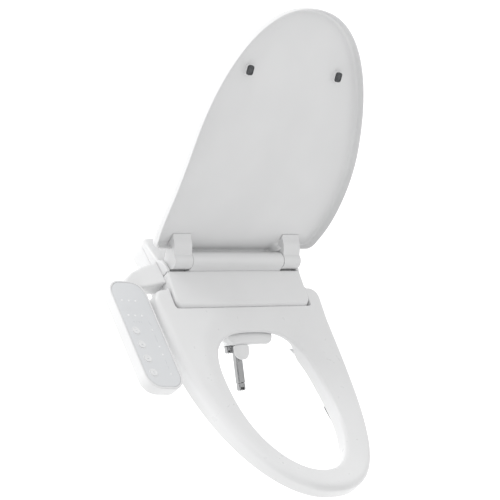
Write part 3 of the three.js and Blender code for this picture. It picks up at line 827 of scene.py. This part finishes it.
def build_rear_cover():
    """Cover behind and under the hinge, which falls to the rear."""
    corners = rectangle(REAR_LOW.x, REAR_HIGH.x, PLATE_HIGH.y + 0.3, REAR_HIGH.y, (2, 2, 16, 16))
    deck, deck_end, rear_top = 56, -2, 50

    def height(xy):
        fall = np.clip((xy[:, 1] - deck_end) / (REAR_HIGH.y - 12 - deck_end), 0, 1)
        return deck - (deck - rear_top) * fall - 2.5 * smoothstep((xy[:, 1] - 30) / 18)

    rear = moulding(
        "rear_cover",
        [polygon_outline(corners, 5)],
        height,
        level(SPLIT_Z + 0.4),
        top_round=lambda base: np.where(base[:, 1] < PLATE_HIGH.y + 3, 0.4, 6.0),
        bottom_round=0.6,
        spacing=7,
    )
    dress(rear, SHELL, "seat_unit", "white_shell", "top_cover")
    for name, side in (("left", -1), ("right", 1)):
        x0, x1 = sorted((side * (LUG_HIGH.x + 0.8), side * REAR_HIGH.x))
        front = PLATE_HIGH.y + 0.3
        crest = smooth_curve([(-6, 56), (-10, 61), (-18, 65), (-27, 66.6), (front, 65.4)], 4)
        cheek = across(f"cover_cheek_{name}", [(front, 52), (-6, 52), *crest], x0, x1, 2.2)
        dress(cheek, SHELL, "seat_unit", "white_shell")


def build_ridge():
    """Rounded ridge between the lugs, which runs down on to the cover."""
    y, z = LID_HINGE.y, LID_HINGE.z
    top = [(y + 14 * math.cos(a), z + 14 * math.sin(a)) for a in np.radians(np.linspace(0, 140, 20))]
    front = smooth_curve([top[-1], (-33.0, 78.0), (-34.4, 72.0), (PLATE_HIGH.y + 0.1, 66.0)], 4)[1:]
    foot = RIDGE_LOW.z
    profile = [*top, *front, (PLATE_HIGH.y + 0.1, foot), (y + 14, foot)]
    ridge = across("hinge_cover", profile, RIDGE_LOW.x, RIDGE_HIGH.x, 1.2)
    dress(ridge, SHELL, "seat_unit", "white_shell", "hinge_ridge")


def on_wand_axis(x, back):
    """Point on a wand's axis, at a distance back from the extended wand's end."""
    low, _ = box_mm("rear_wash_tip")
    reach = 7.2
    tip_y = low.y + reach * abs(WAND_AXIS.z)
    tip_z = low.z + reach * abs(WAND_AXIS.y)
    return Vector((x, tip_y, tip_z)) + WAND_AXIS * back


def wand_x(name):
    low, high = box_mm(f"{name}_wash_tip")
    return (low.x + high.x) / 2


def cut_wand_paths(piece, radius, reach=130):
    for name in ("rear", "front"):
        start = on_wand_axis(wand_x(name), 20)
        cutter = turned(f"path_{name}", [(radius, 0), (radius, reach)], start, WAND_AXIS, 40)
        carve(piece, cutter)


def build_base():
    """Lower housing, and the nose that the wands come out of."""
    corners = rectangle(BASE_LOW.x, BASE_HIGH.x, -92, BASE_HIGH.y, (8, 8, 18, 18))
    housing = moulding(
        "lower_housing",
        [polygon_outline(corners, 6)],
        level(SPLIT_Z),
        level(BASE_LOW.z),
        top_round=0.6,
        bottom_round=5.0,
        draft=1.0,
        bottom_steps=((8, 0.0), (8.6, 0.8)),
        spacing=10,
    )
    cut_wand_paths(housing, 10)
    dress(housing, SHELL, "seat_unit", "white_shell", "base_housing")
    half = 51
    nose_front = BASE_LOW.y
    plan = rectangle(-half, half, nose_front, -91, (16, 16, 1, 1))

    rise_from, front_bottom = -128, 21

    def under(xy):
        share = (rise_from - xy[:, 1]) * (front_bottom - BASE_LOW.z) / (rise_from - nose_front)
        return np.clip(BASE_LOW.z + share, BASE_LOW.z, front_bottom)

    nose = moulding(
        "wand_nose",
        [polygon_outline(plan, 4)],
        lambda xy: nose_top(xy[:, 1]),
        under,
        top_round=3.0,
        bottom_round=1.5,
        spacing=5,
    )
    cut_wand_paths(nose, 10)
    dress(nose, SHELL, "seat_unit", "white_shell")


def build_wand(name, body):
    """Chrome wand with a capped tip, and near-black discs of painted shade where its spray holes are."""
    x = wand_x(name)
    low, _ = box_mm(f"{name}_wash_tip")
    rear_low, _ = box_mm("rear_wash_tip")
    retraction = (low.z - rear_low.z) / WAND_AXIS.z
    radius, tip_length, length = 7.6, 12, 84
    start = on_wand_axis(x, retraction)
    tip_profile = [(0.3, 0.2), (4.6, 0.0), (5.9, 0.25), (6.8, 1.0), (7.2, 2.2)]
    tip_profile += [(7.2, 11.2), (6.9, 11.7), (6.0, tip_length)]
    tip = turned(f"{name}_spray_tip", tip_profile, start, WAND_AXIS)
    dress(tip, CHROME, body, "chrome", f"{name}_wash_tip")
    tube_profile = [(5.0, tip_length + 0.2), (7.1, tip_length + 0.3), (radius, tip_length + 0.9)]
    tube_profile += [(radius, length - 6), (radius - 0.5, length - 5.6), (radius - 0.5, length - 4.6)]
    tube_profile += [(radius, length - 4.2), (radius, length - 0.8), (6.8, length)]
    tube = turned(f"{name}_spray_tube", tube_profile, start, WAND_AXIS)
    dress(tube, CHROME, body, "chrome", f"{name}_wash_wand")
    up = Vector((0, -WAND_AXIS.z, WAND_AXIS.y))
    side = Vector((1, 0, 0))
    holes = [(4.5, 0.0), (7.0, -2.0), (7.0, 2.0), (9.2, 0.0)]
    # Spray holes are not cut: each is a near-black disc set flush in the chrome, painted shade for the hole
    for k, (back, shift) in enumerate(holes):
        height = math.sqrt(7.2**2 - shift**2)
        place = start + WAND_AXIS * back + side * shift + up * (height - 0.7)
        hole = turned(f"{name}_spray_hole_{k + 1}", [(0.7, 0), (0.75, 0.6), (0.6, 0.78)], place, up, 20)
        dress(hole, PAINTED_HOLE_SHADE, body, "chrome")
    # End holes likewise: near-black discs of painted shade on the tip's end face
    for k, (shift, lift) in enumerate(((-2.2, 1.0), (2.2, 1.0), (0.0, -2.2))):
        place = start + side * shift + up * lift + WAND_AXIS * 0.6
        hole = turned(f"{name}_end_hole_{k + 1}", [(0.8, 0), (0.85, 0.5), (0.7, 0.72)], place, -WAND_AXIS, 20)
        dress(hole, PAINTED_HOLE_SHADE, body, "chrome")


def build_guard():
    """Tongue over the wand, with a rounded end."""
    middle = (GUARD_LOW.x + GUARD_HIGH.x) / 2
    half = (GUARD_HIGH.x - GUARD_LOW.x) / 2
    root, tip = GUARD_HIGH.y, GUARD_LOW.y
    corners = rectangle(middle - half, middle + half, tip, root, (15, 15, 1, 1))
    tilt = WAND_AXIS.z / WAND_AXIS.y

    def top(xy):
        bow = 2.6 * ((xy[:, 0] - middle) / half) ** 2
        return GUARD_HIGH.z - 0.4 + (xy[:, 1] - root) * tilt - bow

    guard = moulding(
        "wand_tongue",
        [polygon_outline(corners, 2)],
        top,
        lambda xy: top(xy) - 3.2,
        top_round=1.1,
        bottom_round=0.8,
        spacing=2.5,
    )
    dress(guard, SHELL, "guard", "white_shell", "wand_guard")


# ---- control pod ----
def pod_corners(width, length, radius):
    return rectangle(-width / 2, width / 2, -length / 2, length / 2, (radius,) * 4)


def build_pod():
    low, high = box_mm("pod_shell")
    shell = moulding(
        "pod_housing",
        [polygon_outline(pod_corners(POD["width"], POD["length"], 27), 5)],
        level(high.z),
        level(low.z),
        in_pod,
        top_round=1.6,
        bottom_round=5.0,
        draft=1.4,
        top_steps=((1.6, 0.0), (2.0, -0.25), (2.1, -1.4)),
        bottom_steps=((5, 0.0), (5.5, 0.7)),
        spacing=8,
    )
    dress(shell, SHELL, "seat_unit", "white_shell", "pod_shell")
    top = box_mm("pod_overlay")[1].z
    overlay = moulding(
        "pod_film",
        [polygon_outline(pod_corners(POD["width"] - 8.2, POD["length"] - 8.2, 23.4), 4)],
        level(top - 0.2),
        level(top - 1.2),
        in_pod,
        top_round=0.35,
        bottom_round=0.1,
        spacing=6,
        quarter=4,
    )
    for i in range(4):
        place = Vector(in_pod(np.array([[KEY_X, KEY_FIRST_Y - i * KEY_PITCH, top - 3.0]]))[0])
        carve(overlay, turned(f"key_hole_{i + 1}", [(6.65, 0), (6.65, 5)], place, Vector((0, 0, 1)), 40))
    dress(overlay, OVERLAY, "seat_unit", "overlay", "pod_overlay")


def pod_disc(name, x, y, profile, material, body, slot, *nodes):
    """Round piece that stands on the pod; its profile is (radius, height)."""
    place = Vector(in_pod(np.array([[x, y, 0.0]]))[0])
    disc = turned(name, profile, place, Vector((0, 0, 1)), 40, 30)
    return dress(disc, material, body, slot, *nodes)


def pod_bar(name, x, y, length, width, turn_deg, base, material, body, slot):
    """Short printed mark, raised by a hair."""
    corners = rectangle(-width / 2, width / 2, -length / 2, length / 2, (width * 0.45,) * 4)
    angle = math.radians(turn_deg)

    def place(points):
        c, s = math.cos(angle), math.sin(angle)
        px, py, pz = points.T
        return in_pod(np.column_stack([x + px * c - py * s, y + px * s + py * c, pz]))

    bar = moulding(name, [polygon_outline(corners, 1)], level(base + 0.12), level(base - 0.2), place,
                   top_round=0.05, bottom_round=0.05, spacing=3, quarter=2)
    return dress(bar, material, body, slot)


def build_keys():
    """Four round keys, each with a raised ring and a plain mark of its own."""
    film_top = box_mm("pod_overlay")[1].z - 0.2
    radius = 6.4
    marks = [
        [(0, 0, 90)],
        [(0, 0, 90), (0, 0, 0)],
        [(-1.2, 0, 60), (1.2, 0, 120)],
        [(0, 1.2, 90), (0, -1.2, 90)],
    ]
    for i, strokes in enumerate(marks):
        y = KEY_FIRST_Y - i * KEY_PITCH
        top = box_mm(f"pod_button_{i + 1}")[1].z
        crown = [(radius - 0.5, top - 2.6), (radius, top - 2.4), (radius, top - 0.35), (radius - 0.35, top)]
        crown += [(radius - 1.5, top), (radius - 1.8, top - 0.28), (3.4, top - 0.32)]
        crown += [(3.1, top - 0.1), (0.2, top - 0.1)]
        pod_disc(f"key_{i + 1}", KEY_X, y, crown, KEY, f"button_{i + 1}", "button", f"pod_button_{i + 1}")
        bezel = [(6.8, film_top - 0.4), (7.9, film_top - 0.4), (7.9, film_top + 0.1), (7.7, film_top + 0.25)]
        bezel += [(7.0, film_top + 0.25), (6.8, film_top + 0.1), (6.8, film_top - 0.4)]
        pod_disc(f"key_{i + 1}_bezel", KEY_X, y, bezel, LAMP, "seat_unit", "button")
        for k, (dx, dy, turn) in enumerate(strokes):
            pod_bar(f"key_{i + 1}_mark_{k + 1}", KEY_X + dx, y + dy, 3.4, 0.7, turn, top - 0.1, MARK,
                    f"button_{i + 1}", "button")
    return film_top


def build_lamps(film_top):
    """Indicator lenses and the fine marks beside them."""
    places = [(x, 64) for x in (-20, -6.5, 7)]
    places += [(x, 35) for x in (-19.5, -6, 7.5)]
    places += [(17, y) for y in (8, -24, -39, -76)]
    lens = [(1.9, film_top - 0.3), (1.9, film_top + 0.1), (1.5, film_top + 0.45), (0.8, film_top + 0.6),
            (0.1, film_top + 0.62)]
    for i, (x, y) in enumerate(places):
        pod_disc(f"lamp_{i + 1}", x, y, lens, LAMP, "seat_unit", "button")
    bars = [(17, 21, 9, 15), (17, -8, 14, 0), (17, -53, 8, 0), (17, -64, 6, 0)]
    bars += [(-14 + 5 * k, 23, 3, 20) for k in range(4)]
    for i, (x, y, length, turn) in enumerate(bars):
        pod_bar(f"film_mark_{i + 1}", x, y, length, 0.5, turn, film_top, MARK, "seat_unit", "overlay")


def build_pod_arm():
    """Arm from the unit's side to the pod, hollowed upwards where it meets the cover."""
    low, high = box_mm("pod_arm")
    wall = high.x
    corners = [
        (wall, low.y, 1), (wall, high.y, 1), (-176, high.y - 2, 10), (-200, -16, 14), (-222, -30, 8),
        (-222, -44, 4), (-206, -47, 4), (-190, low.y, 6),
    ]
    rise, run = 13.0, 44.0

    def top(xy):
        t = np.clip((xy[:, 0] - (wall - run)) / run, 0, 1)
        return high.z + rise * t**1.5

    arm = moulding(
        "pod_bracket",
        [polygon_outline(corners, 3)],
        top,
        level(low.z),
        top_round=lambda base: np.where(base[:, 0] > wall - 1.5, 0.4, 5.0),
        bottom_round=2.0,
        spacing=4,
    )
    dress(arm, SHELL, "seat_unit", "white_shell", "pod_arm")


# ---- mounting and connections ----
def thread(radius, start, end, pitch=1.25):
    """Profile of a fine thread between two distances along an axis."""
    turns = int(abs(end - start) / pitch)
    step = (end - start) / turns
    rows = []
    for k in range(turns):
        rows += [(radius, start + step * k), (radius - 0.45, start + step * (k + 0.5))]
    return [*rows, (radius, end)]


def build_mounting():
    corners = rectangle(BRACKET_LOW.x, BRACKET_HIGH.x, BRACKET_LOW.y, BRACKET_HIGH.y, (10,) * 4)
    plate = moulding(
        "bracket_plate",
        [polygon_outline(corners, 5)],
        level(BRACKET_HIGH.z),
        level(BRACKET_LOW.z),
        top_round=1.2,
        bottom_round=0.6,
        top_steps=((5, 0.0), (5.6, -0.8)),
        spacing=8,
    )
    dress(plate, INNER, "seat_unit", "inner_plastic", "mounting_bracket")
    down = Vector((0, 0, -1))
    for name in ("left", "right"):
        low, high = box_mm(f"mounting_bolt_{name}")
        x = (low.x + high.x) / 2
        length = high.z - low.z
        profile = [(0.5, 0.5), (2.4, 0.5), (2.6, 0.1), (7.4, 0.0), (8.8, 0.8), (9.0, 1.6)]
        profile += [(8.8, 2.1), (4.0, 2.2)]
        profile += [*thread(4.0, 6.0, length - 1.2), (2.6, length)]
        bolt = turned(f"rim_bolt_{name}", profile, (x, 0, high.z), down, 36)
        dress(bolt, STEEL, "seat_unit", "steel", f"mounting_bolt_{name}")
        low, high = box_mm(f"mounting_nut_{name}")
        nut = hexagon(f"wing_nut_{name}", x, (low.z, high.z), 11, 4.3)
        dress(nut, INNER, "seat_unit", "inner_plastic", f"mounting_nut_{name}")


def hexagon(name, x, span, radius, bore):
    """Hexagonal nut with chamfered corners and a bored middle."""
    turns = [math.radians(60 * k) for k in range(6)]
    corners = [(x + radius * math.cos(a), radius * math.sin(a), 1.2) for a in turns]

    def hole(inset):
        angles = np.linspace(0, 2 * math.pi, 36, endpoint=False)
        r = bore + inset
        return np.column_stack([x + r * np.cos(angles), r * np.sin(angles)])

    return moulding(name, [polygon_outline(corners, 3), hole], level(span[1]), level(span[0]),
                    top_round=0.7, bottom_round=0.7, spacing=3, quarter=4)


def build_connections():
    rear = Vector((0, 1, 0))
    low, high = box_mm("water_inlet")
    x, z = (low.x + high.x) / 2, (low.z + high.z) / 2
    profile = [(6.0, 0), (8.0, 0.4), (8.0, 5.8), (9.6, 6.2), (9.9, 6.8), (9.9, 9.0), (9.6, 9.6), (7.6, 9.8)]
    profile += [*thread(7.8, 10.0, 11.6, 0.8), (5.2, 12.0), (5.0, 10.0), (0.4, 9.8)]
    inlet = turned("water_spigot", profile, (x, low.y, z), rear)
    dress(inlet, STEEL, "seat_unit", "steel", "water_inlet")
    low, high = box_mm("cord_gland")
    x, z = (low.x + high.x) / 2, (low.z + high.z) / 2
    profile = [(5.0, 0), (6.0, 0.4), (6.0, 6.2), (8.2, 6.4), (8.5, 7.0), (8.5, 8.4), (8.2, 8.9), (6.0, 9.1)]
    profile += [(5.6, 9.8), (6.0, 10.1), (5.4, 11.0), (3.4, 11.0), (3.2, 8.0), (0.4, 7.8)]
    gland = turned("cord_grommet", profile, (x, low.y, z), rear)
    dress(gland, RUBBER, "seat_unit", "rubber", "cord_gland")
    low, high = box_mm("release_button")
    corners = rectangle(low.y, high.y, low.z, high.z, (3,) * 4)

    def sideways(points):
        y, z, x = points.T
        return np.column_stack([x, y, z])

    button = moulding("release_key", [polygon_outline(corners, 2)], level(high.x), level(low.x), sideways,
                      top_round=0.8, bottom_round=0.3, top_steps=((1.0, 0.0), (1.6, -0.35)), spacing=3)
    dress(button, KEY, "unit_release", "button", "release_button")


# ---- CAD nodes that show as they are ----
NODE_MATERIALS = {
    "white_shell": SHELL,
    "white_lid": LID,
    "white_seat": SEAT,
    "overlay": OVERLAY,
    "button": KEY,
    "rubber": RUBBER,
    "chrome": CHROME,
    "steel": STEEL,
    "inner_plastic": INNER,
    "circuit": CIRCUIT,
}


def dress_nodes():
    """Every CAD node that stays gets the material of its record slot."""
    for entry in frame["record"]["materials"]:
        for name in entry.get("nodes", []):
            node = frame["nodes"][name]
            node.data.materials.clear()
            node.data.materials.append(NODE_MATERIALS[entry["slot"]])


# ---- studio ----
def area_light(name, place, target, size, power, colour=(1, 1, 1)):
    data = bpy.data.lights.new(name, "AREA")
    data.shape = "DISK"
    data.size = size
    data.energy = power
    data.color = colour
    lamp = bpy.data.objects.new(name, data)
    lamp.location = place
    lamp.rotation_euler = (Vector(target) - Vector(place)).to_track_quat("-Z", "Y").to_euler()
    bpy.context.scene.collection.objects.link(lamp)
    return lamp


def build_floor():
    """Plain pale floor, far below the object, which hangs as it does over a toilet bowl."""
    size = 9000
    points = [(x * size, y * size, FLOOR_Z) for x, y in ((-1, -1), (1, -1), (1, 1), (-1, 1))]
    floor = mesh_object("floor", points, [(0, 1, 2, 3)])
    material, tree, shader = new_material("floor", Roughness=0.9)
    shader.inputs["Emission Color"].default_value = (1, 1, 1, 1)
    shader.inputs["Emission Strength"].default_value = 0.35
    pale = tint(tree, noise(tree, 2), (0.90, 0.90, 0.90), (0.92, 0.92, 0.92))
    tree.links.new(pale, shader.inputs["Base Color"])
    floor.data.materials.append(material)


def build_flags():
    """Dark cards in front of the set, seen only in the gloss of the pieces, above all in the chrome."""
    material, tree, shader = new_material("flag", Roughness=1.0)
    black = tint(tree, noise(tree, 3), (0.004, 0.004, 0.004), (0.006, 0.006, 0.006))
    tree.links.new(black, shader.inputs["Base Color"])
    y, low, high = -1500, FLOOR_Z + 10, 2600
    for name, x, width in (("flag_left", -2600, 900), ("flag_middle", -900, 640), ("flag_right", 900, 900)):
        left, right = x - width, x + width
        points = [(left, y, low), (right, y, low), (right, y, high), (left, y, high)]
        flag = mesh_object(name, points, [(0, 1, 2, 3)])
        flag.data.materials.append(material)
        flag.visible_camera = False
        flag.visible_diffuse = False
        flag.visible_shadow = False
        flag.visible_transmission = False


def build_studio():
    world = bpy.data.worlds.new("studio")
    world.use_nodes = True
    background = world.node_tree.nodes["Background"]
    background.inputs["Color"].default_value = (1.0, 1.0, 1.0, 1)
    background.inputs["Strength"].default_value = 1.02
    bpy.context.scene.world = world
    bpy.context.scene.view_settings.view_transform = "Standard"
    area_light("key", (-2.3, 2.1, 1.6), (0, -0.15, 0.15), 1.4, 40)


def build_camera():
    """Long lens from the front left and above, rolled as the object is shown."""
    place = Vector((-2.57241, -1.61802, 2.20184))
    aim = Vector((0.01751, -0.01767, 0.09918))
    roll = math.radians(42.781)
    data = bpy.data.cameras.new("camera")
    data.sensor_width = 36
    data.lens = 161.28
    data.clip_end = 60
    camera = bpy.data.objects.new("camera", data)
    upright = (aim - place).to_track_quat("-Z", "Y").to_matrix()
    camera.matrix_world = Matrix.Translation(place) @ (upright @ Matrix.Rotation(roll, 3, "Z")).to_4x4()
    bpy.context.scene.collection.objects.link(camera)
    bpy.context.scene.camera = camera


build_camera()
build_studio()
build_floor()
build_flags()
build_ring()
build_seat_bumpers()
build_lid()
build_lugs()
build_lid_bumpers()
build_cover()
build_rear_cover()
build_ridge()
build_base()
build_wand("rear", "rear_wand")
build_wand("front", "front_wand")
build_guard()
build_pod()
build_lamps(build_keys())
build_pod_arm()
build_mounting()
build_connections()
dress_nodes()
